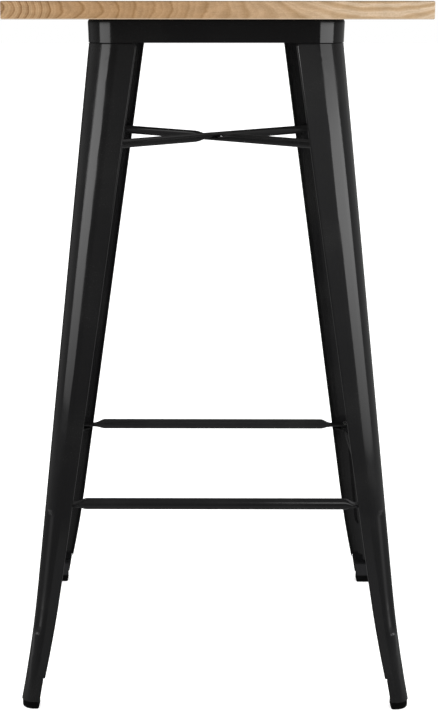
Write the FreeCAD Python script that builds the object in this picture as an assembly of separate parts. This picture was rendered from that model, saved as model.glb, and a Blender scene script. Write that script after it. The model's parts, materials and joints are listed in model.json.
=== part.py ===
import FreeCAD, Part
import math
import os

os.makedirs("parts", exist_ok=True)

# A square pub table: a wooden top on a base of pressed sheet steel. All sizes in millimetres, +Z up,
# the origin on the floor under the middle of the top.

# Whole table
HEIGHT = 1050.0
TOP_SIZE = 600.0
TOP_THICKNESS = 25.0
TOP_EDGE_ROUND = 2.0

# Sheet metal and fits
SHEET = 1.5
FIT = 0.2
FOLD_RADIUS = 2.0

# Apron ring under the top
APRON_WIDTH = 377.0
APRON_HEIGHT = 34.5
APRON_DRAFT = 1.0
APRON_CORNER = 47.0
APRON_EDGE_ROUND = 5.5
APRON_EDGE_STEPS = 4
APRON_FLANGE = 26.0

# Legs: outside line, width of each face, corner, folded lips
SHOULDER_DROP = 2.8
JOGGLE_HEIGHT = 2.4
JOGGLE_STEPS = 3
APRON_TAB_HEIGHT = 26.0
LEG_SPLAY = 0.1004
FLARE_START = 185.0
FLARE_EXTRA = 7.6
FLARE_STEPS = 4
FACE_TOP = 72.2
FACE_TOP_ROUND = 3.5
TOP_ROUND_STEPS = (0.0, 0.15, 0.5, 1.0)
FACE_MIDDLE = 44.0
FACE_MIDDLE_HEIGHT = 350.0
FACE_ANKLE = 30.4
FACE_END = 28.2
CORNER_END = 20.0
LIP_TOP = 14.0
LIP_BOTTOM = 10.0
LIP_END_HEIGHT = 45.0
NICK_HEIGHT = 2.5
NICK_DEPTH = 2.4

# Pressed flute down the corner of each leg
FLUTE_TOP = 302.0
FLUTE_BOTTOM = 112.0
FLUTE_HALF_WIDTH = 11.0
FLUTE_DEPTH = 3.0
FLUTE_RAMP = 12.0
FLUTE_RAMP_STEPS = (0.0, 0.3, 0.65, 1.0)
FLUTE_POINTS = 7

# Rubber feet
PAD_HEIGHT = 12.0
PAD_INSET = 1.0
PAD_EDGE = 2.4
PAD_EDGE_STEPS = 3
PAD_CORNER = 3.4
PLUG_HEIGHT = 24.0
PLUG_CORNER = 2.0

# Foot rails: round tube with flattened ends, the side pair one tab lower than the other
RAIL_HEIGHT = 309.0
RAIL_DIAMETER = 17.2
RAIL_INSET = 17.0
RAIL_TAB_WIDTH = 21.0
RAIL_TAB_THICKNESS = 3.0
RAIL_TAB_DROP = 1.5
RAIL_TAB_LENGTH = 36.5
RAIL_TAPER_LENGTH = 20.0

# Cross brace: two round bars, crushed to half their height where they cross
BRACE_DROP = 149.5
BRACE_DIAMETER = 13.4
BRACE_TAB_WIDTH = 17.0
BRACE_TAB_THICKNESS = 2.5
BRACE_TAB_LENGTH = 32.0
BRACE_TAPER_LENGTH = 17.0
BRACE_END_GAP = 4.0
CROSSING_WIDTH = 16.0
CROSSING_CROWN = 1.5
CROSSING_FLAT = 10.0
CROSSING_TAPER = 34.0
CROSSING_GAP = 0.2
TAPER_STEPS = 6

# Bracket plates welded inside the legs
BRACKET_THICKNESS = 2.0
RAIL_BRACKET_REACH = 20.0

# M6 bolts, nuts and weld studs
BOLT_DIAMETER = 6.0
HOLE_CLEARANCE = 0.6
HEX_FLATS = 10.0
BOLT_HEAD_HEIGHT = 4.0
NUT_HEIGHT = 5.0
THREAD_PAST_NUT = 2.5
STUD_FROM_CORNER = 58.0
STUD_BELOW_TOP = 20.0

# Wood screws that hold the top
SCREW_DIAMETER = 4.5
SCREW_IN_WOOD = 15.0
SCREW_HEAD_DIAMETER = 9.0
SCREW_HEAD_HEIGHT = 2.8
SCREW_HEAD_ROUND = 1.6
SCREW_SPACING = 160.0
PILOT_CLEARANCE = 0.2

# Levels and widths that follow from the sizes above
UNDERSIDE = HEIGHT - TOP_THICKNESS
APRON_BOTTOM = UNDERSIDE - APRON_HEIGHT
SHOULDER = APRON_BOTTOM - SHOULDER_DROP
APRON_HALF = APRON_WIDTH / 2
BRACE_HEIGHT = APRON_BOTTOM - BRACE_DROP
LEG_END = PAD_HEIGHT
PLUG_TOP = LEG_END + PLUG_HEIGHT
HOLE_RADIUS = (BOLT_DIAMETER + HOLE_CLEARANCE) / 2
UP = FreeCAD.Vector(0, 0, 1)
ORIGIN = FreeCAD.Vector(0, 0, 0)


def point(x, y, z):
    return FreeCAD.Vector(x, y, z)


def line(start, end):
    return Part.LineSegment(start, end).toShape()


def arc(start, middle, end):
    return Part.Arc(start, middle, end).toShape()


def between(low, high, share):
    return low * (1 - share) + high * share


def corner_point(centre, radius, degrees, z):
    angle = math.radians(degrees)
    return point(centre + radius * math.cos(angle), centre + radius * math.sin(angle), z)


def cylinder(radius, height, base, direction=UP):
    return Part.makeCylinder(radius, height, base, direction)


def hexagon(flats, height, base, direction=UP):
    radius = flats / math.sqrt(3)
    turns = [k * math.pi / 3 for k in range(7)]
    corners = [point(radius * math.cos(turn), radius * math.sin(turn), 0) for turn in turns]
    prism = Part.Face(Part.makePolygon(corners)).extrude(UP * height)
    prism.Placement = FreeCAD.Placement(base, FreeCAD.Rotation(UP, direction))
    return prism


def mirrored(shape, flip_x, flip_y):
    if flip_x:
        shape = shape.mirror(ORIGIN, point(1, 0, 0))
    if flip_y:
        shape = shape.mirror(ORIGIN, point(0, 1, 0))
    return shape


CORNERS = {
    "back_right": (False, False),
    "back_left": (True, False),
    "front_right": (False, True),
    "front_left": (True, True),
}


def at_corners(shape):
    return {name: mirrored(shape, *flips) for name, flips in CORNERS.items()}


def save(name, shape):
    solids = shape.Solids
    faces = sum(len(solid.Faces) for solid in solids)
    shape.exportStep("parts/" + name + ".step")
    print(f"{name}: {len(solids)} solid(s), {faces} faces, valid {shape.isValid()}")


# Outside line of a leg at a height above the floor
def leg_outer(z):
    outer = APRON_HALF + LEG_SPLAY * (SHOULDER - z)
    if z < FLARE_START:
        outer += FLARE_EXTRA * ((FLARE_START - z) / (FLARE_START - LEG_END)) ** 2
    return outer


# Width of a leg face, from its outside corner to its fold, with the upper corner by the fold rounded off
def leg_face(z):
    if z >= FACE_MIDDLE_HEIGHT:
        face = between(FACE_MIDDLE, FACE_TOP, (z - FACE_MIDDLE_HEIGHT) / (SHOULDER - FACE_MIDDLE_HEIGHT))
        rise = max(z - SHOULDER + FACE_TOP_ROUND, 0.0)
        return face - FACE_TOP_ROUND + math.sqrt(FACE_TOP_ROUND ** 2 - rise ** 2)
    if z >= LIP_END_HEIGHT:
        return between(FACE_ANKLE, FACE_MIDDLE, (z - LIP_END_HEIGHT) / (FACE_MIDDLE_HEIGHT - LIP_END_HEIGHT))
    return FACE_END


def leg_corner(z):
    return between(CORNER_END, APRON_CORNER, (z - LEG_END) / (SHOULDER - LEG_END))


def leg_lip(z):
    return between(LIP_BOTTOM, LIP_TOP, (z - LIP_END_HEIGHT) / (SHOULDER - LIP_END_HEIGHT))


def flute_depth(z):
    rise = min((FLUTE_TOP - z) / FLUTE_RAMP, (z - FLUTE_BOTTOM) / FLUTE_RAMP, 1.0)
    if rise <= 0:
        return 0.0
    return FLUTE_DEPTH * math.sin(rise * math.pi / 2)


# The rounded corner of a leg as three edges, the middle one dipped by the flute
def corner_edges(outer, radius, flute_turn, depth, z):
    centre = outer - radius
    spread = math.degrees(flute_turn)
    first, last = 45 + spread, 45 - spread
    dip = []
    for k in range(FLUTE_POINTS):
        share = 2 * k / (FLUTE_POINTS - 1) - 1
        inward = depth * (1 + math.cos(math.pi * share)) / 2
        dip.append(corner_point(centre, radius - inward, 45 - spread * share, z))
    flute = Part.BSplineCurve()
    flute.interpolate(dip)
    return [
        arc(corner_point(centre, radius, 90, z), corner_point(centre, radius, (90 + first) / 2, z), dip[0]),
        flute.toShape(),
        arc(dip[-1], corner_point(centre, radius, last / 2, z), corner_point(centre, radius, 0, z)),
    ]


# A closed section of bare sheet round the corner, with no lips
def bare_section(z, outer, face, radius):
    turn = FLUTE_HALF_WIDTH / radius
    inner = outer - SHEET
    start = outer - face
    outside = corner_edges(outer, radius, turn, 0.0, z)
    inside = corner_edges(inner, radius - SHEET, turn, 0.0, z)
    edges = [line(point(start, outer, z), point(outer - radius, outer, z))] + outside
    edges += [
        line(point(outer, outer - radius, z), point(outer, start, z)),
        line(point(outer, start, z), point(inner, start, z)),
        line(point(inner, start, z), point(inner, outer - radius, z)),
    ]
    edges += inside
    edges += [
        line(point(outer - radius, inner, z), point(start, inner, z)),
        line(point(start, inner, z), point(start, outer, z)),
    ]
    return Part.Wire(Part.__sortEdges__(edges))


# A closed section of the leg with both edges folded into lips
def lipped_section(z):
    outer, face, radius, lip = leg_outer(z), leg_face(z), leg_corner(z), leg_lip(z)
    depth = flute_depth(z)
    turn = FLUTE_HALF_WIDTH / radius
    inner, start, tip = outer - SHEET, outer - face, outer - lip
    back = start + SHEET
    bend = FOLD_RADIUS
    bent = bend * (1 - math.sqrt(0.5))
    thin = (bend - SHEET) * (1 - math.sqrt(0.5))

    def across(p):
        return point(p.y, p.x, p.z)

    outside = [
        point(start, tip, z),
        point(start, outer - bend, z),
        point(start + bent, outer - bent, z),
        point(start + bend, outer, z),
        point(outer - radius, outer, z),
    ]
    inside = [
        point(back, tip, z),
        point(back, outer - bend, z),
        point(back + thin, inner - thin, z),
        point(start + bend, inner, z),
        point(outer - radius, inner, z),
    ]

    def half(p):
        return [line(p[0], p[1]), arc(p[1], p[2], p[3]), line(p[3], p[4])]

    def other_half(p):
        q = [across(v) for v in p]
        return [line(q[4], q[3]), arc(q[3], q[2], q[1]), line(q[1], q[0])]

    edges = half(outside) + corner_edges(outer, radius, turn, depth, z) + other_half(outside)
    edges.append(line(across(outside[0]), across(inside[0])))
    edges += half([across(v) for v in inside])
    edges += corner_edges(inner, radius - SHEET, turn, depth, z)
    edges += other_half([across(v) for v in inside])
    edges.append(line(inside[0], outside[0]))
    return Part.Wire(Part.__sortEdges__(edges))


def ruled_loft(sections):
    return Part.makeLoft(sections, True, True)


# Heights where the lipped part of a leg changes its line or its flute
def lipped_heights():
    heights = [FACE_MIDDLE_HEIGHT, LIP_END_HEIGHT]
    for share in FLUTE_RAMP_STEPS:
        heights.append(FLUTE_TOP - FLUTE_RAMP * share)
        heights.append(FLUTE_BOTTOM + FLUTE_RAMP * share)
    for share in TOP_ROUND_STEPS:
        heights.append(SHOULDER - FACE_TOP_ROUND * share)
    for step in range(FLARE_STEPS):
        heights.append(between(FLARE_START, LIP_END_HEIGHT, step / FLARE_STEPS))
    return sorted(set(heights), reverse=True)


def apron_half(z):
    return APRON_HALF + APRON_DRAFT * (z - APRON_BOTTOM) / APRON_HEIGHT


# Where the bolts of a leg stand, measured from the table's axis
RAIL_AXIS = leg_outer(RAIL_HEIGHT) - RAIL_INSET
SIDE_RAIL_HEIGHT = RAIL_HEIGHT - RAIL_TAB_THICKNESS
UPPER_TAB_TOP = RAIL_HEIGHT - RAIL_TAB_DROP + RAIL_TAB_THICKNESS / 2
UPPER_TAB_BOTTOM = UPPER_TAB_TOP - RAIL_TAB_THICKNESS
LOWER_TAB_BOTTOM = UPPER_TAB_BOTTOM - RAIL_TAB_THICKNESS
BRACE_TAB_BOTTOM = BRACE_HEIGHT - BRACE_TAB_THICKNESS / 2
BRACE_TAB_TOP = BRACE_TAB_BOTTOM + BRACE_TAB_THICKNESS
BRACE_CORNER = leg_outer(BRACE_HEIGHT) - leg_corner(BRACE_HEIGHT)
BRACE_END = BRACE_CORNER * math.sqrt(2) + leg_corner(BRACE_HEIGHT) - SHEET - BRACE_END_GAP
BRACE_BOLT = (BRACE_END - BRACE_TAB_WIDTH / 2) / math.sqrt(2)
BRACE_BRACKET_REACH = BRACE_TAB_LENGTH - BRACE_TAB_WIDTH / 2 - FIT
STUD_HEIGHT = UNDERSIDE - STUD_BELOW_TOP
STUD_FACE = apron_half(STUD_HEIGHT) - SHEET
STUD_ALONG = APRON_HALF - STUD_FROM_CORNER


def table_top():
    half = TOP_SIZE / 2
    slab = Part.makeBox(TOP_SIZE, TOP_SIZE, TOP_THICKNESS, point(-half, -half, UNDERSIDE))
    slab = slab.makeFillet(TOP_EDGE_ROUND, slab.Edges)
    pilot = (SCREW_DIAMETER + PILOT_CLEARANCE) / 2
    holes = [cylinder(pilot, SCREW_IN_WOOD + PILOT_CLEARANCE, place) for place in screw_places()]
    return slab.cut(holes)


def screw_places():
    out = apron_half(UNDERSIDE) - (APRON_FLANGE + SHEET) / 2
    along = SCREW_SPACING / 2
    places = []
    for side in (-1, 1):
        for step in (-1, 1):
            places.append(point(step * along, side * out, UNDERSIDE))
            places.append(point(side * out, step * along, UNDERSIDE))
    return places


def rounded_square(half, radius, z):
    flat = half - radius
    edges = []
    for turn in range(4):
        spin = FreeCAD.Rotation(UP, 90 * turn)
        start, end = point(-flat, half, z), point(flat, half, z)
        middle = corner_point(flat, radius, 45, z)
        finish = point(half, flat, z)
        edges.append(line(spin.multVec(start), spin.multVec(end)))
        edges.append(arc(spin.multVec(end), spin.multVec(middle), spin.multVec(finish)))
    return Part.Wire(Part.__sortEdges__(edges))


# The drafted block of the apron with its upper edge rolled over, drawn in by an inset all round
def rolled_ring(inset):
    top, roll = UNDERSIDE - inset, APRON_EDGE_ROUND - inset
    levels = [(APRON_BOTTOM, APRON_HALF - inset)]
    for step in range(APRON_EDGE_STEPS + 1):
        angle = math.pi / 2 * step / APRON_EDGE_STEPS
        drawn_in = inset + roll * (1 - math.cos(angle))
        levels.append((top - roll * (1 - math.sin(angle)), apron_half(top) - drawn_in))
    return ruled_loft([rounded_square(half, half + APRON_CORNER - APRON_HALF, z) for z, half in levels])


# The apron: a ring of sheet with a flange turned in under the top
def apron_frame():
    outside = rolled_ring(0.0)
    inside = rolled_ring(SHEET)
    roof = UNDERSIDE - SHEET
    flange_half = apron_half(UNDERSIDE) - APRON_FLANGE
    window = Part.Face(rounded_square(flange_half, APRON_CORNER - APRON_FLANGE, roof)).extrude(UP * SHEET)
    hole = (SCREW_DIAMETER + HOLE_CLEARANCE) / 2
    holes = [cylinder(hole, SHEET, place - UP * SHEET) for place in screw_places()]
    return outside.cut([inside, window] + holes)


# One leg, pressed from sheet, in the corner at +X +Y
def leg():
    lipped = ruled_loft([lipped_section(z) for z in lipped_heights()])
    ankle = ruled_loft([
        bare_section(z, leg_outer(z), FACE_END, leg_corner(z)) for z in (LIP_END_HEIGHT, PLUG_TOP, LEG_END)
    ])
    tab = ruled_loft(apron_tab_sections())
    whole = lipped.fuse([ankle, tab])
    return whole.cut(leg_cuts()).removeSplitter()


# The tab that a leg puts up inside the apron: the shoulder rolls in by the sheet, then the tab stands up
def apron_tab_sections():
    bare = leg_face(SHOULDER) - FOLD_RADIUS
    rolls = []
    for step in range(JOGGLE_STEPS + 1):
        angle = math.pi / 2 * step / JOGGLE_STEPS
        rolls.append((SHOULDER + JOGGLE_HEIGHT * math.sin(angle), (SHEET + FIT) * (1 - math.cos(angle))))
    tab_top = SHOULDER + JOGGLE_HEIGHT + APRON_TAB_HEIGHT
    rolls.append((tab_top, SHEET + FIT - apron_half(tab_top) + APRON_HALF))
    return [bare_section(z, APRON_HALF - inset, bare - inset, APRON_CORNER - inset) for z, inset in rolls]


# Openings in a leg: slots for the rail tabs, relief nicks where the lips end, stud holes
def leg_cuts():
    cuts = []
    for tab_bottom, swap in ((UPPER_TAB_BOTTOM, False), (LOWER_TAB_BOTTOM, True)):
        outer, lip = leg_outer(tab_bottom), leg_lip(tab_bottom)
        slot_end = RAIL_AXIS + RAIL_TAB_WIDTH / 2 + FIT
        slot_start = outer - lip - FOLD_RADIUS
        fold = outer - leg_face(tab_bottom)
        slot = Part.makeBox(
            SHEET + 2 * FOLD_RADIUS, slot_end - slot_start, RAIL_TAB_THICKNESS + 2 * FIT,
            point(fold - FOLD_RADIUS, slot_start, tab_bottom - FIT))
        cuts.append(swap_axes(slot) if swap else slot)
    outer, face = leg_outer(LIP_END_HEIGHT), leg_face(LIP_END_HEIGHT)
    nick = Part.makeBox(
        NICK_DEPTH + FOLD_RADIUS, LIP_BOTTOM + 2 * FOLD_RADIUS, NICK_HEIGHT,
        point(outer - face - FOLD_RADIUS, outer - LIP_BOTTOM - FOLD_RADIUS, LIP_END_HEIGHT))
    cuts += [nick, swap_axes(nick)]
    hole = cylinder(HOLE_RADIUS, 4 * SHEET, point(STUD_ALONG, STUD_FACE + SHEET, STUD_HEIGHT), point(0, -1, 0))
    cuts += [hole, swap_axes(hole)]
    return cuts


# Reflect a shape in the diagonal plane, so that what is on one face is on the other
def swap_axes(shape):
    return shape.mirror(ORIGIN, point(1, -1, 0))


# Corner outline of a foot or plug: a square with one large outer corner
def foot_outline(outer, width, outer_corner, small_corner, z):
    low = outer - width
    r, s = outer_corner, small_corner
    diagonal = math.sqrt(0.5)
    edges = [
        line(point(low + s, outer, z), point(outer - r, outer, z)),
        arc(point(outer - r, outer, z), corner_point(outer - r, r, 45, z), point(outer, outer - r, z)),
        line(point(outer, outer - r, z), point(outer, low + s, z)),
        arc(point(outer, low + s, z), point(outer - s + s * diagonal, low + s - s * diagonal, z),
            point(outer - s, low, z)),
        line(point(outer - s, low, z), point(low + s, low, z)),
        arc(point(low + s, low, z), corner_point(low + s, -s, 45, z), point(low, low + s, z)),
        line(point(low, low + s, z), point(low, outer - s, z)),
        arc(point(low, outer - s, z), point(low + s - s * diagonal, outer - s + s * diagonal, z),
            point(low + s, outer, z)),
    ]
    return Part.Wire(Part.__sortEdges__(edges))


# A rubber foot: a pad under the end of the leg and a plug up inside it
def foot():
    outer = leg_outer(LEG_END) - PAD_INSET
    width = FACE_END - 2 * PAD_INSET
    corner = CORNER_END - PAD_INSET
    levels = []
    for step in range(PAD_EDGE_STEPS + 1):
        angle = math.pi / 2 * step / PAD_EDGE_STEPS
        levels.append((PAD_EDGE * (1 - math.cos(angle)), PAD_EDGE * (1 - math.sin(angle))))
    levels.append((PAD_HEIGHT, 0.0))
    pad = ruled_loft([
        foot_outline(outer - drawn_in, width - 2 * drawn_in, corner - drawn_in, PAD_CORNER - drawn_in, z)
        for z, drawn_in in levels
    ])
    inset = SHEET + FIT
    plug_width = FACE_END - 2 * inset
    plug = ruled_loft([
        foot_outline(leg_outer(z) - inset, plug_width, leg_corner(z) - inset, PLUG_CORNER, z)
        for z in (LEG_END, PLUG_TOP)
    ])
    return pad.fuse(plug)


# Shapes of a tube across X: round, pressed flat, or pressed to half its height
def round_shape(diameter):
    r = diameter / 2
    c = r * math.sqrt(0.5)
    return c, r, -c, -r, c, r


def tab_shape(width, thickness, level):
    half = width / 2
    low, high = level - thickness / 2, level + thickness / 2
    return half - thickness / 2, half, low, low, high, high


def lapped_shape(width, height, gap):
    half = width / 2
    shoulder = gap + height - CROSSING_CROWN
    return half - CROSSING_CROWN, half, gap, gap, shoulder, gap + height


# A section of that shape: below and above a line or a bulged edge, at the sides an arc
def tube_section(x, shape):
    corner, side, low, low_middle, high, high_middle = shape
    middle = (low + high) / 2

    def edge(first, bulge, last, bulged):
        return arc(first, bulge, last) if bulged else line(first, last)

    left_low, right_low = point(x, -corner, low), point(x, corner, low)
    left_high, right_high = point(x, -corner, high), point(x, corner, high)
    return Part.Wire([
        edge(left_low, point(x, 0, low_middle), right_low, low != low_middle),
        arc(right_low, point(x, side, middle), right_high),
        edge(right_high, point(x, 0, high_middle), left_high, high != high_middle),
        arc(left_high, point(x, -side, middle), left_low),
    ])


# A bar through stations of x and shape, straight where the shape stays and eased where it changes
def pressed_tube(stations):
    sections = [tube_section(*stations[0])]
    for (start, first), (end, last) in zip(stations, stations[1:]):
        steps = 1 if first == last else TAPER_STEPS
        for step in range(1, steps + 1):
            share = step / steps
            ease = share * share * (3 - 2 * share)
            shape = [between(a, b, ease) for a, b in zip(first, last)]
            sections.append(tube_section(between(start, end, share), shape))
    return ruled_loft(sections)


# Trim a bar's flat tabs to rounded ends and drill them
def finish_tabs(bar, end, width, bolt):
    half = width / 2
    flat = end - half
    outline = Part.Wire([
        line(point(-flat, -half, 0), point(flat, -half, 0)),
        arc(point(flat, -half, 0), point(end, 0, 0), point(flat, half, 0)),
        line(point(flat, half, 0), point(-flat, half, 0)),
        arc(point(-flat, half, 0), point(-end, 0, 0), point(-flat, -half, 0)),
    ])
    tall = 2 * width
    prism = Part.Face(outline).extrude(UP * tall)
    prism.translate(UP * (-width))
    holes = [cylinder(HOLE_RADIUS, tall, point(side * bolt, 0, -width)) for side in (-1, 1)]
    return bar.common(prism).cut(holes)


# A foot rail along X, with its tube's axis at the origin
def rail():
    end = RAIL_AXIS + RAIL_TAB_WIDTH / 2
    tab = end - RAIL_TAB_LENGTH
    tube = tab - RAIL_TAPER_LENGTH
    flat = tab_shape(RAIL_TAB_WIDTH, RAIL_TAB_THICKNESS, -RAIL_TAB_DROP)
    full = round_shape(RAIL_DIAMETER)
    bar = pressed_tube([(-end, flat), (-tab, flat), (-tube, full), (tube, full), (tab, flat), (end, flat)])
    return finish_tabs(bar, end, RAIL_TAB_WIDTH, RAIL_AXIS)


# A brace bar along X that passes over the other one at the middle
def brace_bar():
    end = BRACE_END
    tab = end - BRACE_TAB_LENGTH
    tube = tab - BRACE_TAPER_LENGTH
    lap = CROSSING_FLAT + CROSSING_TAPER
    flat = tab_shape(BRACE_TAB_WIDTH, BRACE_TAB_THICKNESS, 0)
    full = round_shape(BRACE_DIAMETER)
    half = lapped_shape(CROSSING_WIDTH, BRACE_DIAMETER / 2 - CROSSING_GAP / 2, CROSSING_GAP / 2)
    bar = pressed_tube([
        (-end, flat), (-tab, flat), (-tube, full), (-lap, full), (-CROSSING_FLAT, half),
        (CROSSING_FLAT, half), (lap, full), (tube, full), (tab, flat), (end, flat)])
    return finish_tabs(bar, end, BRACE_TAB_WIDTH, BRACE_BOLT * math.sqrt(2))


# A bracket plate inside a leg's corner, under the level where the tabs lie. Its free edge crosses the
# corner on the slant, a given reach from the bolt.
def bracket(top, bolt, reach):
    outer = leg_outer(top) - SHEET - FIT
    radius = leg_corner(top) - SHEET - FIT
    start = leg_outer(top) - leg_face(top) + SHEET + FOLD_RADIUS
    cut = 2 * bolt - reach * math.sqrt(2) - start
    z = top - BRACKET_THICKNESS
    rounding = radius - FLUTE_DEPTH
    outline = Part.Wire(Part.__sortEdges__([
        line(point(start, outer, z), point(outer - radius, outer, z)),
        arc(point(outer - radius, outer, z), corner_point(outer - radius, rounding, 45, z),
            point(outer, outer - radius, z)),
        line(point(outer, outer - radius, z), point(outer, start, z)),
        line(point(outer, start, z), point(cut, start, z)),
        line(point(cut, start, z), point(start, cut, z)),
        line(point(start, cut, z), point(start, outer, z)),
    ]))
    plate = Part.Face(outline).extrude(UP * BRACKET_THICKNESS)
    return plate.cut(cylinder(HOLE_RADIUS, BRACKET_THICKNESS, point(bolt, bolt, z)))


# A bolt that hangs from its head through a stack of plates, and the nut under the stack
def bolt(place, seat, stack):
    length = stack + NUT_HEIGHT + THREAD_PAST_NUT
    head = hexagon(HEX_FLATS, BOLT_HEAD_HEIGHT, point(place, place, seat))
    return head.fuse(cylinder(BOLT_DIAMETER / 2, length, point(place, place, seat - length)))


def nut(base, direction=UP):
    body = hexagon(HEX_FLATS, NUT_HEIGHT, base, direction)
    return body.cut(cylinder(BOLT_DIAMETER / 2 + FIT / 2, NUT_HEIGHT, base, direction))


# Studs welded inside the apron, two to a leg, and the nuts that clamp the leg's tab on them
def studs_and_nuts():
    inward = point(0, -1, 0)
    tab_face = STUD_FACE - FIT - SHEET
    reach = FIT + SHEET + FIT + NUT_HEIGHT + THREAD_PAST_NUT
    slope = BOLT_DIAMETER / 2 * APRON_DRAFT / APRON_HEIGHT
    stud = cylinder(BOLT_DIAMETER / 2, reach, point(STUD_ALONG, STUD_FACE - slope, STUD_HEIGHT), inward)
    hold = nut(point(STUD_ALONG, tab_face - FIT, STUD_HEIGHT), inward)
    return [stud, swap_axes(stud)], [hold, swap_axes(hold)]


def top_screw(place):
    seat = place - UP * SHEET
    head = cylinder(SCREW_HEAD_DIAMETER / 2, SCREW_HEAD_HEIGHT, seat - UP * SCREW_HEAD_HEIGHT)
    rim = [edge for edge in head.Edges if edge.BoundBox.ZMax < seat.z - SCREW_HEAD_HEIGHT / 2]
    head = head.makeFillet(SCREW_HEAD_ROUND, rim)
    return head.fuse(cylinder(SCREW_DIAMETER / 2, SHEET + SCREW_IN_WOOD, seat))


def group_at_corners(shapes):
    return Part.makeCompound([copy for shape in shapes for copy in at_corners(shape).values()])


def main():
    save("table_top", table_top())
    save("apron_frame", apron_frame())
    for name, shape in at_corners(leg()).items():
        save("leg_" + name, shape)
    for name, shape in at_corners(foot()).items():
        save("foot_" + name, shape)

    for name, turn, axis_height in (("back", 0, RAIL_HEIGHT), ("left", 90, SIDE_RAIL_HEIGHT),
                                    ("front", 180, RAIL_HEIGHT), ("right", 270, SIDE_RAIL_HEIGHT)):
        shape = rail()
        shape.translate(point(0, RAIL_AXIS, axis_height))
        shape.rotate(ORIGIN, UP, turn)
        save("rail_" + name, shape)

    upper = brace_bar()
    lower = upper.copy()
    lower.rotate(ORIGIN, point(1, 0, 0), 180)
    for name, shape, turn in (("brace_upper", upper, 45), ("brace_lower", lower, -45)):
        shape.rotate(ORIGIN, UP, turn)
        shape.translate(UP * BRACE_HEIGHT)
        save(name, shape)

    for name, shape in at_corners(bracket(LOWER_TAB_BOTTOM, RAIL_AXIS, RAIL_BRACKET_REACH)).items():
        save("rail_bracket_" + name, shape)
    for name, shape in at_corners(bracket(BRACE_TAB_BOTTOM, BRACE_BOLT, BRACE_BRACKET_REACH)).items():
        save("brace_bracket_" + name, shape)

    rail_stack = 2 * RAIL_TAB_THICKNESS + BRACKET_THICKNESS
    brace_stack = BRACE_TAB_THICKNESS + BRACKET_THICKNESS
    save("rail_bolts", group_at_corners([bolt(RAIL_AXIS, UPPER_TAB_TOP, rail_stack)]))
    rail_nut_base = UPPER_TAB_TOP - rail_stack - NUT_HEIGHT
    save("rail_nuts", group_at_corners([nut(point(RAIL_AXIS, RAIL_AXIS, rail_nut_base))]))
    save("brace_bolts", group_at_corners([bolt(BRACE_BOLT, BRACE_TAB_TOP, brace_stack)]))
    brace_nut_base = BRACE_TAB_TOP - brace_stack - NUT_HEIGHT
    save("brace_nuts", group_at_corners([nut(point(BRACE_BOLT, BRACE_BOLT, brace_nut_base))]))
    studs, nuts = studs_and_nuts()
    save("leg_studs", group_at_corners(studs))
    save("leg_nuts", group_at_corners(nuts))
    save("top_screws", Part.makeCompound([top_screw(place) for place in screw_places()]))


main()
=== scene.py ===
import json
import math

import bpy
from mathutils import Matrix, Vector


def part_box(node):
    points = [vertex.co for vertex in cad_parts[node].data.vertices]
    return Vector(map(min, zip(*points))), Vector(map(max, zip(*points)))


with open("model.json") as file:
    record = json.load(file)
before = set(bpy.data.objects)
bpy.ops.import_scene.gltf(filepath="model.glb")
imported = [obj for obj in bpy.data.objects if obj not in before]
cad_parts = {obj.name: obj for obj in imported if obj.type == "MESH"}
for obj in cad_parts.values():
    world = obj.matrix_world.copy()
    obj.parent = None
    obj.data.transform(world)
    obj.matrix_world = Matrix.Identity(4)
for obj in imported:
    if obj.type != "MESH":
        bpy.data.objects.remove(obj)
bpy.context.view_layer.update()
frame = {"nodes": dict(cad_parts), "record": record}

# Camera, with its lens in pixels of the picture
PICTURE_WIDTH = 438
PICTURE_HEIGHT = 712
CAMERA_PLACE = (-0.0255, -2.6059, 1.048)
CAMERA_PITCH = 0.21275
CAMERA_YAW = 0.00534
FOCAL_PIXELS = 1637.2
AXIS_PIXEL = 190
SENSOR = 36.0

# White room and floor
WHITE = (1.0, 1.0, 1.0, 1.0)
FLOOR_HALF = 40.0
FLOOR_COLOURS = ((0.9, 0.9, 0.9, 1.0), (0.93, 0.93, 0.93, 1.0))
FLOOR_GLOW = 0.4
LIGHT_FROM_ABOVE = 1.25
LIGHT_FROM_BELOW = 0.9
HORIZON = 0.15

# Dim room that gloss mirrors, and the light added to it over spans of direction (axis, start, end)
DIM_ROOM = 0.05
MIRRORED_ROOM = (
    (0.01, ("Y", 0.78, 0.97)),
    (0.07, ("Z", 0.05, 0.6)),
    (0.19, ("Z", -0.2, -0.8)),
    (0.27, ("X", 0.2, 0.4), ("Y", -0.9, 0.5), ("Z", -0.6, 0.0)),
    (0.19, ("X", -0.5, -0.9), ("Y", -0.9, 0.5), ("Z", -0.6, 0.0)),
)

# Light panels, with the base's corner that the standing ones face
LEFT = -1
RIGHT = 1
CORNER = 0.17
BOX_HEIGHT = 1.75
BOX_LIGHT = 3.1
BOX_GLOW = ((0.0, 0.29), (0.34, 1.0), (0.49, 1.0), (0.62, 0.55))
RISING_GLOW = ((0.0, 0.0), (1.0, 1.0))
FLUTE_PANEL = (0.3, 0.2)
FLUTE_LEAN = 16
FLUTE_GRID = 30
ON_FLOOR = 0.004
FACING_UP = (math.pi, 0.0, 0.0)
FACING_BACK = (math.pi / 2, 0.0, 0.0)
FRONT_LEGS = ("leg_front_left", "leg_front_right")
REAR_PIECES = ("leg_back_left", "leg_back_right", "rail_back")

# Black coat: how far out of the joints its gloss is dulled as painted shade, and its gloss there and
# elsewhere
JOINT_REACH = 0.014
JOINT_SHADE_GLOSS = 0.02
OPEN_GLOSS = 0.5
SPECK_COLOUR = (0.05, 0.05, 0.05, 1.0)

# Rubber feet, with the height of the pads under the legs
PAD_TOP = 0.012
PAD_COLOUR = (0.0005, 0.0005, 0.0005, 1.0)
SCUFF_COLOUR = (0.002, 0.002, 0.002, 1.0)
PLUG_COLOUR = (0.016, 0.016, 0.017, 1.0)

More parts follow.
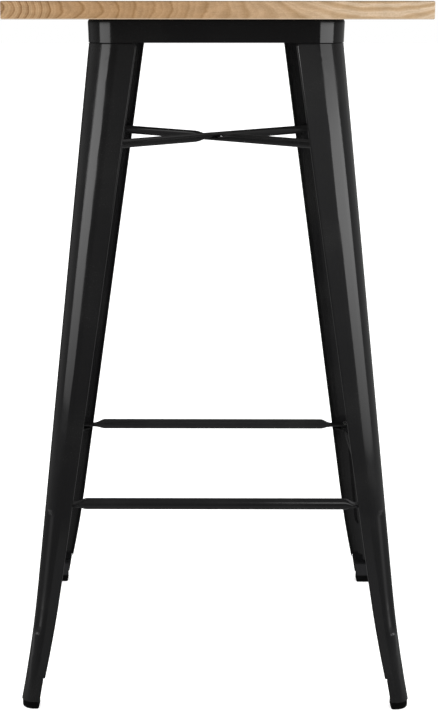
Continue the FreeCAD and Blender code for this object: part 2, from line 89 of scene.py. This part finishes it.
# Zinc plate
BRIGHT_ZINC = (0.62, 0.63, 0.62, 1.0)
DULL_ZINC = (0.46, 0.46, 0.44, 1.0)

# Wood: boards, and counts of rings
BOARDS = 6
BOARD_EDGE = 0.01
BOARD_SEED = 3.0
RINGS_APART = 7.3
FINE_RINGS = 3.0
FRONT_RINGS = 25.0
LOST_RINGS = 8.3
CROWDED_RINGS = 3.4
LEANING_RINGS = 1.25
LEFT_BOW = 0.53
RIGHT_BOW = 0.22
BOW_MIDDLE = 0.15
RINGS_INWARD = 9.0
WAVE_RINGS = 1.2
RIPPLE_RINGS = 0.18

# Wood: width of a ring, and the heart of the log beside and below a board, in metres
RING_WIDTH = 0.0075
HEART_BESIDE = 0.05
HEART_BELOW = (0.012, 0.062)
ASKEW_RINGS_PER_METRE = 12.0

# Wood: how dark it is through one ring, and along the front board
SHARP_RING = ((0.0, 0.0), (0.55, 0.15), (0.74, 0.35), (0.86, 1.0), (1.0, 0.0))
SOFT_RING = ((0.0, 0.15), (0.25, 0.0), (0.55, 0.5), (0.8, 0.9), (1.0, 0.15))
FINE_RING = ((0.0, 0.0), (0.5, 0.2), (0.82, 0.3), (1.0, 0.0))
EARLY_RING = ((0.0, 0.3), (0.12, 1.0), (0.4, 1.0), (0.55, 0.0), (1.0, 0.0))
CALM_MIDDLE = ((0.0, 1.0), (0.34, 1.0), (0.42, 0.75), (0.7, 0.75), (0.8, 1.0))
LIVELY_ENDS = ((0.0, 1.0), (0.1, 0.6), (0.16, 0.1), (0.7, 0.1), (0.8, 0.8), (1.0, 1.0))

# Wood: sizes of the grain's patterns, in waves to the metre along X, Y and Z
SLOW_WAVES = (16.0, 30.0, 30.0)
RIPPLES = (70.0, 130.0, 130.0)
FIBRES = (26.0, 620.0, 620.0)
PORES = (70.0, 1300.0, 1300.0)
PATCHES = (45.0, 90.0, 90.0)
FLECKS = (420.0, 700.0, 700.0)

# Wood: colours in screen values, and tints that another colour is multiplied by
LEFT_WOOD = (159, 127, 93)
RIGHT_WOOD = (180, 156, 131)
OTHER_WOOD = (170, 140, 108)
RING_TINT = (200, 186, 150)
END_RING_TINT = (176, 156, 120)
PORE_COLOUR = (116, 82, 54)
PALE_PATCH = (1.1, 1.08, 1.02, 1.0)
DARK_PATCH = (0.96, 0.94, 0.87, 1.0)
DARK_FLECK = (0.93, 0.92, 0.88, 1.0)
PALE_FLECK = (1.06, 1.06, 1.06, 1.0)
EARLY_TINT = (1.16, 1.25, 1.4, 1.0)
FIBRE_TINT = (0.93, 0.92, 0.9, 1.0)
END_GRAIN_TINT = (0.62, 0.56, 0.5, 1.0)
# Painted shade for the eased edges that face up
UPPER_ARRIS_SHADE_TINT = (0.58, 0.6, 0.64, 1.0)
# Painted bounce light for the eased edges that face down
LOWER_ARRIS_BOUNCE_LIGHT = (0.62, 0.5, 0.38, 1.0)


class NodeBuilder:
    """Calls that add nodes to a tree. They take numbers, colours or other nodes' outputs."""

    def __init__(self, tree):
        self.nodes = tree.nodes
        self.links = tree.links

    def feed(self, socket, value):
        """Sets a socket to a number or a colour, or links another node's output to it."""
        if isinstance(value, bpy.types.NodeSocket):
            self.links.new(value, socket)
        else:
            socket.default_value = value

    def sums(self, operation, first, second=0.0, third=0.0):
        """Arithmetic on up to three numbers."""
        node = self.nodes.new("ShaderNodeMath")
        node.operation = operation
        for socket, value in zip(node.inputs, (first, second, third)):
            self.feed(socket, value)
        return node.outputs[0]

    def between(self, chance, least, most):
        """A number from least to most for a chance number from 0 to 1."""
        return self.sums("MULTIPLY_ADD", chance, most - least, least)

    def split(self, vector):
        """The three numbers of a vector or a colour."""
        node = self.nodes.new("ShaderNodeSeparateXYZ")
        self.feed(node.inputs[0], vector)
        return node.outputs

    def fade(self, value, start, end, first=0.0, last=1.0):
        """Goes smoothly from first to last as value goes from start to end."""
        node = self.nodes.new("ShaderNodeMapRange")
        node.interpolation_type = "SMOOTHSTEP"
        for socket, given in zip(node.inputs, (value, start, end, first, last)):
            self.feed(socket, given)
        return node.outputs["Result"]

    def profile(self, value, stops):
        """A curve from 0 to 1 through stops of (place, height)."""
        node = self.nodes.new("ShaderNodeValToRGB")
        self.feed(node.inputs["Fac"], value)
        elements = node.color_ramp.elements
        while len(elements) < len(stops):
            elements.new(0.5)
        for element, (place, height) in zip(elements, stops):
            element.position = place
            element.color = (height, height, height, 1.0)
        return node.outputs["Color"]

    def choose(self, factor, first, second):
        """One shader where factor is 0 and another where it is 1."""
        node = self.nodes.new("ShaderNodeMixShader")
        for socket, value in zip(node.inputs, (factor, first, second)):
            self.feed(socket, value)
        return node.outputs[0]


class Finish(NodeBuilder):
    """A procedural material: one Principled shader and the calls that build the nodes which feed it."""

    def __init__(self, name):
        self.material = bpy.data.materials.new(name)
        self.material.use_nodes = True
        super().__init__(self.material.node_tree)
        self.shader = self.nodes["Principled BSDF"]
        spot = self.nodes.new("ShaderNodeTexCoord")
        self.place = spot.outputs["Object"]
        self.normal = spot.outputs["Normal"]

    def shade(self, **values):
        """Sets or links inputs of the shader, with spaces in their names written as underscores."""
        for name, value in values.items():
            self.feed(self.shader.inputs[name.replace("_", " ")], value)

    def stretch(self, factors):
        """Object coordinates times a factor for each axis."""
        node = self.nodes.new("ShaderNodeVectorMath")
        node.operation = "MULTIPLY"
        self.feed(node.inputs[0], self.place)
        node.inputs[1].default_value = factors
        return node.outputs[0]

    def noise(self, waves, detail=2.0):
        """Soft noise of so many waves to the metre: one number for all ways, or one for each axis."""
        node = self.nodes.new("ShaderNodeTexNoise")
        if isinstance(waves, tuple):
            self.feed(node.inputs["Vector"], self.stretch(waves))
            node.inputs["Scale"].default_value = 1.0
        else:
            self.feed(node.inputs["Vector"], self.place)
            node.inputs["Scale"].default_value = waves
        node.inputs["Detail"].default_value = detail
        return node.outputs["Fac"]

    def dice(self, value):
        """Three chance numbers from 0 to 1 that stay the same for the same value."""
        node = self.nodes.new("ShaderNodeTexWhiteNoise")
        node.noise_dimensions = "1D"
        self.feed(node.inputs["W"], value)
        return self.split(node.outputs["Color"])

    def openness(self, reach):
        """How open the surface lies, from 0 deep in a joint to 1 where nothing is near it within reach."""
        node = self.nodes.new("ShaderNodeAmbientOcclusion")
        node.samples = 8
        node.inputs["Distance"].default_value = reach
        return node.outputs["AO"]

    def blend(self, factor, first, second, kind="MIX"):
        """Goes from one colour to another as factor goes from 0 to 1."""
        node = self.nodes.new("ShaderNodeMix")
        node.data_type = "RGBA"
        node.blend_type = kind
        self.feed(node.inputs["Factor"], factor)
        self.feed(node.inputs[6], first)
        self.feed(node.inputs[7], second)
        return node.outputs[2]

    def tinted(self, colour, tint):
        """A colour multiplied by another."""
        return self.blend(1.0, colour, tint, "MULTIPLY")

    def bump(self, *layers):
        """Stacks layers of (height, depth in metres) into the shader's normal."""
        normal = None
        for height, depth in layers:
            node = self.nodes.new("ShaderNodeBump")
            node.inputs["Distance"].default_value = depth
            self.feed(node.inputs["Height"], height)
            if normal:
                self.feed(node.inputs["Normal"], normal)
            normal = node.outputs["Normal"]
        self.feed(self.shader.inputs["Normal"], normal)


def screen_colour(red, green, blue):
    """A colour in screen values from 0 to 255 as the linear colour that a shader takes."""
    linear = []
    for value in (red, green, blue):
        value = value / 255
        if value > 0.04045:
            linear.append(((value + 0.055) / 1.055) ** 2.4)
        else:
            linear.append(value / 12.92)
    return (*linear, 1.0)


def front_board_rings(wood, along, height, depth):
    """Ring count in the front board: steep arcs at the left that lean over and lie down flat at the right."""
    bend = wood.sums("POWER", along, 5.0)
    run = wood.sums("MULTIPLY_ADD", bend, -LOST_RINGS, wood.sums("MULTIPLY", along, FRONT_RINGS))
    close = wood.fade(along, 0.0, 0.14, 0.0, CROWDED_RINGS)
    lean = wood.sums("MULTIPLY", wood.fade(along, 0.42, 0.95, 0.0, LEANING_RINGS), height)
    bow = wood.fade(along, 0.08, 0.35, LEFT_BOW, RIGHT_BOW)
    from_middle = wood.sums("SUBTRACT", height, BOW_MIDDLE)
    bowed = wood.sums("MULTIPLY", bow, wood.sums("MULTIPLY", from_middle, from_middle))
    inward = wood.sums("MULTIPLY", wood.sums("MULTIPLY", depth, depth), RINGS_INWARD)
    straight = wood.sums("ADD", wood.sums("ADD", run, close), lean)
    return wood.sums("ADD", straight, wood.sums("ADD", bowed, inward))


def other_board_rings(wood, x, offset, height, chance):
    """Ring count in a board sawn beside the heart of the log, which runs a little askew to the board."""
    sideways = wood.sums("SUBTRACT", offset, wood.between(chance[0], -HEART_BESIDE, HEART_BESIDE))
    below = wood.sums("ADD", height, wood.between(chance[1], *HEART_BELOW))
    squares = wood.sums("ADD", wood.sums("POWER", wood.sums("ABSOLUTE", sideways), 2.0),
                        wood.sums("POWER", below, 2.0))
    radius = wood.sums("DIVIDE", wood.sums("SQRT", squares), RING_WIDTH)
    askew = wood.between(chance[2], -ASKEW_RINGS_PER_METRE, ASKEW_RINGS_PER_METRE)
    return wood.sums("ADD", radius, wood.sums("MULTIPLY", askew, x))


def late_wood(wood, rings, part_ring, front_along):
    """Dark late wood, 0 to 1: sharp lines, soft at the right of the front board, and fine ones between."""
    sharp = wood.profile(part_ring, SHARP_RING)
    soft = wood.profile(part_ring, SOFT_RING)
    lines = wood.blend(wood.fade(front_along, 0.35, 0.65), sharp, soft)
    ring_depth = wood.between(wood.dice(wood.sums("FLOOR", rings))[0], 0.55, 1.0)
    strength = wood.sums("MULTIPLY", ring_depth, wood.profile(front_along, CALM_MIDDLE))
    strong = wood.sums("MULTIPLY", lines, strength)
    part_fine = wood.sums("FRACT", wood.sums("MULTIPLY", rings, FINE_RINGS))
    return wood.sums("MAXIMUM", strong, wood.profile(part_fine, FINE_RING))


def arris(wood, tilt, way):
    """1 on the eased edges that face outward and up, for a way of 1, or outward and down, for a way of -1."""
    off_side = wood.fade(tilt, 0.1 * way, 0.5 * way)
    off_face = wood.fade(tilt, 0.97 * way, 0.8 * way)
    return wood.sums("MULTIPLY", off_side, off_face)


def wood_finish(low, high):
    """Boards of wild-grained wood glued side by side with the grain along X, under a satin seal."""
    wood = Finish("satin_wood")
    x, y, z = wood.split(wood.place)
    turn_x, _, tilt = wood.split(wood.normal)
    board_width = (high.y - low.y) / BOARDS
    along = wood.sums("DIVIDE", wood.sums("SUBTRACT", x, low.x), high.x - low.x)
    depth = wood.sums("DIVIDE", wood.sums("SUBTRACT", y, low.y), board_width)
    middle = (low.z + high.z) / 2
    height = wood.sums("DIVIDE", wood.sums("SUBTRACT", z, middle), (high.z - low.z) / 2)

    # Boards, with the outer faces kept inside the first and the last
    inside = wood.sums("MINIMUM", wood.sums("MAXIMUM", depth, BOARD_EDGE), BOARDS - BOARD_EDGE)
    board = wood.sums("FLOOR", inside)
    chance = wood.dice(wood.sums("ADD", board, BOARD_SEED))
    in_board = wood.sums("SUBTRACT", wood.sums("SUBTRACT", depth, board), 0.5)
    is_front = wood.sums("LESS_THAN", board, 0.5)
    is_other = wood.sums("SUBTRACT", 1.0, is_front)
    front_along = wood.sums("MULTIPLY", along, is_front)

    # Rings, bent by slow waves in the grain
    offset = wood.sums("MULTIPLY", in_board, board_width)
    rise = wood.sums("SUBTRACT", z, low.z)
    front = wood.sums("MULTIPLY", front_board_rings(wood, along, height, depth), is_front)
    others = wood.sums("MULTIPLY", other_board_rings(wood, x, offset, rise, chance), is_other)
    straight = wood.sums("MULTIPLY_ADD", board, RINGS_APART, wood.sums("ADD", front, others))
    wave = wood.sums("MULTIPLY", wood.noise(SLOW_WAVES, detail=3.0), WAVE_RINGS)
    rings = wood.sums("ADD", wood.sums("MULTIPLY_ADD", wood.noise(RIPPLES), RIPPLE_RINGS, wave), straight)
    part_ring = wood.sums("FRACT", rings)
    late = late_wood(wood, rings, part_ring, front_along)

    # Fibres and pores
    fibre = wood.noise(FIBRES, detail=3.0)
    pores = wood.fade(wood.noise(PORES, detail=1.0), 0.66, 0.74)

    # Colour of the boards, mottled and flecked
    rightward = wood.fade(along, 0.3, 0.9)
    front_colour = wood.blend(rightward, screen_colour(*LEFT_WOOD), screen_colour(*RIGHT_WOOD))
    other_colour = wood.tinted(screen_colour(*OTHER_WOOD), wood.between(chance[1], 0.85, 1.15))
    plain = wood.blend(is_front, other_colour, front_colour)
    mottle = wood.fade(wood.noise(PATCHES), 0.35, 0.65)
    patched = wood.tinted(plain, wood.blend(mottle, PALE_PATCH, DARK_PATCH))
    fleck = wood.fade(wood.noise(FLECKS), 0.35, 0.65)
    base = wood.tinted(patched, wood.blend(fleck, DARK_FLECK, PALE_FLECK))

    # Colour of the rings, paler between the dark lines at the ends of the front board
    early = wood.profile(part_ring, EARLY_RING)
    lively = wood.profile(along, LIVELY_ENDS)
    pale = wood.sums("MULTIPLY", early, wood.sums("MULTIPLY", lively, is_front))
    paled = wood.blend(pale, base, wood.tinted(base, EARLY_TINT))
    near_end = wood.sums("MULTIPLY", is_front, wood.fade(along, 0.16, 0.05))
    ring_tint = wood.blend(near_end, screen_colour(*RING_TINT), screen_colour(*END_RING_TINT))
    ringed = wood.blend(late, paled, wood.tinted(base, ring_tint))

    # Colour of the fibres, the pores and the end grain, with painted shade on the upper eased edges and
    # painted bounce light on the lower ones
    streaked = wood.blend(wood.fade(fibre, 0.3, 0.7), ringed, wood.tinted(ringed, FIBRE_TINT))
    pored = wood.blend(wood.sums("MULTIPLY", pores, 0.45), streaked, screen_colour(*PORE_COLOUR))
    end_face = wood.fade(wood.sums("ABSOLUTE", turn_x), 0.6, 0.9)
    ended = wood.blend(wood.sums("MULTIPLY", end_face, 0.35), pored, wood.tinted(pored, END_GRAIN_TINT))
    # Painted shade: the eased edges that face up are darkened and greyed
    painted_shade_top_edge = wood.blend(arris(wood, tilt, 1), ended, wood.tinted(ended, UPPER_ARRIS_SHADE_TINT))
    # Painted bounce light: the eased edges that face down are lightened
    lower = wood.sums("MULTIPLY", arris(wood, tilt, -1), 0.6)
    wood.shade(Base_Color=wood.blend(lower, painted_shade_top_edge, LOWER_ARRIS_BOUNCE_LIGHT))

    # Seal, duller over the pores and smoother on the late wood
    dull = wood.sums("MULTIPLY_ADD", pores, 0.15, 0.46)
    wood.shade(Roughness=wood.sums("MULTIPLY_ADD", late, -0.08, dull))
    wood.shade(Specular_IOR_Level=0.4)
    wood.bump((fibre, 0.00006), (late, 0.00004), (wood.sums("SUBTRACT", 1.0, pores), 0.00008))
    return wood.material


def coat_finish(name, tone, roughness):
    """Gloss black powder coat: faint orange peel, slow waves, uneven polish, and gloss dulled in the joints
    as painted shade.
    """
    coat = Finish(name)
    cloud = coat.noise(9.0, detail=4.0)
    peel = coat.noise(320.0, detail=1.0)
    wave = coat.noise(11.0, detail=1.0)
    speck = coat.fade(coat.noise(900.0, detail=0.0), 0.7, 0.78)
    clean = (tone, tone, tone * 1.04, 1.0)
    dust = (tone * 1.4, tone * 1.39, tone * 1.38, 1.0)
    dusty = coat.blend(coat.fade(cloud, 0.45, 0.8), clean, dust)
    coat.shade(Base_Color=coat.blend(coat.sums("MULTIPLY", speck, 0.12), dusty, SPECK_COLOUR))
    coat.shade(Roughness=coat.fade(cloud, 0.3, 0.75, roughness, roughness + 0.10))
    # Painted shade: the gloss falls away where ambient occlusion finds a joint close by
    gloss = coat.fade(coat.openness(JOINT_REACH), 0.6, 0.95, JOINT_SHADE_GLOSS, OPEN_GLOSS)
    coat.shade(Specular_IOR_Level=gloss)
    coat.bump((wave, 0.00018), (peel, 0.000012))
    return coat.material


def rubber_finish():
    """Moulded black rubber, dull, slightly grey where it is scuffed and greyer on the plug inside the leg."""
    rubber = Finish("foot_rubber_dull")
    scuff = rubber.fade(rubber.noise(60.0, detail=5.0), 0.5, 0.75)
    grit = rubber.noise(1100.0)
    pad = rubber.blend(scuff, PAD_COLOUR, SCUFF_COLOUR)
    on_plug = rubber.fade(rubber.split(rubber.place)[2], PAD_TOP, PAD_TOP + 0.001)
    rubber.shade(Base_Color=rubber.blend(on_plug, pad, PLUG_COLOUR))
    rubber.shade(Roughness=rubber.fade(scuff, 0.0, 1.0, 0.62, 0.82))
    rubber.shade(Specular_IOR_Level=0.12)
    rubber.bump((grit, 0.00003))
    return rubber.material


def zinc_finish():
    """Bright zinc plate with fine turning marks and small dull patches."""
    zinc = Finish("zinc_plate")
    patch = zinc.fade(zinc.noise(220.0, detail=4.0), 0.4, 0.7)
    marks = zinc.noise((300.0, 300.0, 4200.0))
    zinc.shade(Metallic=1.0)
    zinc.shade(Base_Color=zinc.blend(patch, BRIGHT_ZINC, DULL_ZINC))
    zinc.shade(Roughness=zinc.fade(patch, 0.0, 1.0, 0.24, 0.42))
    zinc.bump((marks, 0.00001))
    return zinc.material


def dress_nodes():
    """Gives every node of the frame the finish of its material slot."""
    low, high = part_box("table_top")
    finishes = {
        "wood_top": wood_finish(low, high),
        "black_steel": coat_finish("coat_on_sheet", tone=0.0083, roughness=0.07),
        "rail_steel": coat_finish("coat_on_tube", tone=0.0078, roughness=0.1),
        "foot_rubber": rubber_finish(),
        "zinc_fasteners": zinc_finish(),
    }
    for subpart in frame["record"]["subparts"]:
        node = frame["nodes"][subpart["node"]]
        for slot in node.material_slots:
            slot.material = finishes[subpart["material_slot"]]
    # The black coat shows no brown of the top in its gloss
    frame["nodes"]["table_top"].visible_glossy = False


def make_floor():
    """A blank pale floor that is seen from above only, so that the underside can be looked at too.

    It sends no light to the table. The room's light from below the horizon stands in for that.
    """
    corners = [(-FLOOR_HALF, -FLOOR_HALF, 0), (FLOOR_HALF, -FLOOR_HALF, 0),
               (FLOOR_HALF, FLOOR_HALF, 0), (-FLOOR_HALF, FLOOR_HALF, 0)]
    mesh = bpy.data.meshes.new("floor")
    mesh.from_pydata(corners, [], [(0, 1, 2, 3)])
    floor = bpy.data.objects.new("floor", mesh)
    bpy.context.scene.collection.objects.link(floor)
    floor.visible_glossy = False
    floor.visible_diffuse = False
    pale = Finish("pale_floor")
    pale.shade(Base_Color=pale.blend(pale.noise(3.0, detail=3.0), *FLOOR_COLOURS))
    pale.shade(Roughness=0.8, Emission_Strength=FLOOR_GLOW)
    clear = pale.nodes.new("ShaderNodeBsdfTransparent")
    facing = pale.nodes.new("ShaderNodeNewGeometry")
    surface = pale.choose(facing.outputs["Backfacing"], pale.shader.outputs[0], clear.outputs[0])
    pale.feed(pale.nodes["Material Output"].inputs["Surface"], surface)
    mesh.materials.append(pale.material)


def make_world():
    """A white room that gloss sees as a dim one, brighter above, below, at the sides and behind."""
    world = bpy.data.worlds.new("studio")
    bpy.context.scene.world = world
    world.use_nodes = True
    room = NodeBuilder(world.node_tree)
    direction = room.nodes.new("ShaderNodeTexCoord")
    axes = room.split(direction.outputs["Generated"])
    path = room.nodes.new("ShaderNodeLightPath")

    def white(strength):
        node = room.nodes.new("ShaderNodeBackground")
        node.inputs["Color"].default_value = WHITE
        room.feed(node.inputs["Strength"], strength)
        return node.outputs[0]

    mirrored = DIM_ROOM
    for added, *spans in MIRRORED_ROOM:
        part = 1.0
        for axis, start, end in spans:
            part = room.sums("MULTIPLY", part, room.fade(axes[axis], start, end))
        mirrored = room.sums("MULTIPLY_ADD", part, added, mirrored)
    lit = room.fade(axes["Z"], -HORIZON, HORIZON, LIGHT_FROM_BELOW, LIGHT_FROM_ABOVE)
    lighting = room.choose(path.outputs["Is Glossy Ray"], white(lit), white(mirrored))
    shown = room.choose(path.outputs["Is Camera Ray"], lighting, white(1.0))
    room.feed(room.nodes["World Output"].inputs["Surface"], shown)


def make_panel(name, place, angles, size, brightness, pieces, glow=(), spread=180, link_state="INCLUDE"):
    """A soft light panel that lights only the named pieces, or with EXCLUDE everything but them.

    Brightness is the light that each square metre sends out in each direction. Glow gives the part of it
    that is left at heights on the panel, by stops of (part of the height, part of the brightness). Spread,
    in degrees, is how wide a grid in front of the panel lets the light out.
    """
    light = bpy.data.lights.new(name, "AREA")
    light.shape = "RECTANGLE"
    light.size, light.size_y = size
    light.energy = brightness * math.pi * light.size * light.size_y
    light.spread = math.radians(spread)
    if glow:
        light.use_nodes = True
        face = NodeBuilder(light.node_tree)
        spot = face.nodes.new("ShaderNodeNewGeometry")
        height = face.split(spot.outputs["Parametric"])["Y"]
        face.feed(face.nodes["Emission"].inputs["Strength"], face.profile(height, glow))
    lamp = bpy.data.objects.new(name, light)
    lamp.location = place
    lamp.rotation_euler = angles
    lamp.visible_camera = False
    bpy.context.scene.collection.objects.link(lamp)
    reach = bpy.data.collections.new(name + "_reach")
    for piece in pieces:
        reach.objects.link(frame["nodes"][piece])
    for entry in reach.collection_objects:
        entry.light_linking.link_state = link_state
    lamp.light_linking.receiver_collection = reach
    return lamp


def make_standing_panel(name, side, azimuth, distance, foot, size, brightness, pieces, down=0, **options):
    """A panel that faces a front corner of the base from an azimuth, and leans down, both in degrees.

    The azimuth is counted from straight in front, outward on either side, and foot is the lower edge.
    """
    turn = math.radians(azimuth) * side
    x = side * CORNER + distance * math.sin(turn)
    y = -CORNER - distance * math.cos(turn)
    z = foot + size[1] / 2
    angles = (math.radians(90 - down), 0.0, turn)
    make_panel(name, (x, y, z), angles, size, brightness, pieces, **options)


def make_lights():
    """Two tall softboxes for the bright bands on the legs, and panels that each light a single feature.

    The face panels light the flat fronts of the front legs, the flute panels both ends of their corner
    flutes, the fold panels their inner folds, and the streak panels the front rail and the lower brace bar.
    The near floor shines into the front legs. The fill lights the rear pieces and shows in no gloss.
    """
    left, right = FRONT_LEGS
    make_standing_panel("softbox_left", LEFT, azimuth=55, distance=2.0, foot=0.465, size=(1.5, BOX_HEIGHT),
                        brightness=BOX_LIGHT, pieces=[right], glow=BOX_GLOW, link_state="EXCLUDE")
    make_standing_panel("softbox_right", RIGHT, azimuth=52, distance=2.0, foot=0.33, size=(1.99, BOX_HEIGHT),
                        brightness=BOX_LIGHT, pieces=[left], glow=BOX_GLOW, link_state="EXCLUDE")
    make_standing_panel("face_left", LEFT, azimuth=4, distance=3.5, foot=0.0, size=(0.9, 1.7),
                        brightness=0.12, pieces=[left], glow=RISING_GLOW)
    make_standing_panel("face_right", RIGHT, azimuth=12, distance=3.5, foot=0.0, size=(1.7, 1.7),
                        brightness=0.27, pieces=[right], glow=RISING_GLOW)
    make_standing_panel("flute_foot_left", LEFT, azimuth=88, distance=1.1, foot=0.34, size=FLUTE_PANEL,
                        brightness=0.038, pieces=[left], down=FLUTE_LEAN, spread=FLUTE_GRID)
    make_standing_panel("flute_foot_right", RIGHT, azimuth=91, distance=1.1, foot=0.34, size=FLUTE_PANEL,
                        brightness=0.055, pieces=[right], down=FLUTE_LEAN, spread=FLUTE_GRID)
    make_panel("flute_top_left", (-0.85, -0.2, ON_FLOOR), FACING_UP, size=(0.34, 0.6),
               brightness=0.31, pieces=[left])
    make_panel("flute_top_right", (0.85, -0.2, ON_FLOOR), FACING_UP, size=(0.34, 0.6),
               brightness=0.28, pieces=[right])
    make_standing_panel("fold_left", LEFT, azimuth=-32, distance=2.4, foot=0.85, size=(2.4, 0.38),
                        brightness=1.3, pieces=[left])
    make_standing_panel("fold_right", RIGHT, azimuth=-32, distance=2.4, foot=1.22, size=(2.4, 0.33),
                        brightness=8.0, pieces=[right])
    make_standing_panel("rail_streak", RIGHT, azimuth=10.8, distance=1.76, foot=1.06, size=(0.55, 0.8),
                        brightness=2.1, pieces=["rail_front"], down=35)
    make_standing_panel("brace_streak", LEFT, azimuth=120, distance=1.27, foot=1.45, size=(0.5, 0.5),
                        brightness=0.8, pieces=["brace_lower"], down=36)
    make_panel("near_floor", (0.0, -1.7, ON_FLOOR), FACING_UP, size=(1.4, 1.6),
               brightness=0.14, pieces=FRONT_LEGS)
    fill = make_panel("fill", (0.0, -0.15, 0.58), FACING_BACK, size=(0.26, 0.7),
                      brightness=3.15, pieces=REAR_PIECES)
    fill.visible_glossy = False


def make_camera():
    """The photograph's view, with the lens axis left of the picture's middle."""
    data = bpy.data.cameras.new("camera")
    data.sensor_width = SENSOR
    data.lens = FOCAL_PIXELS * SENSOR / PICTURE_HEIGHT
    data.shift_x = (PICTURE_WIDTH / 2 - AXIS_PIXEL) / PICTURE_HEIGHT
    camera = bpy.data.objects.new("camera", data)
    camera.location = CAMERA_PLACE
    camera.rotation_euler = (math.pi / 2 - CAMERA_PITCH, 0, CAMERA_YAW)
    bpy.context.scene.collection.objects.link(camera)
    bpy.context.scene.camera = camera


dress_nodes()
make_floor()
make_world()
make_lights()
make_camera()
bpy.context.scene.view_settings.view_transform = "Standard"
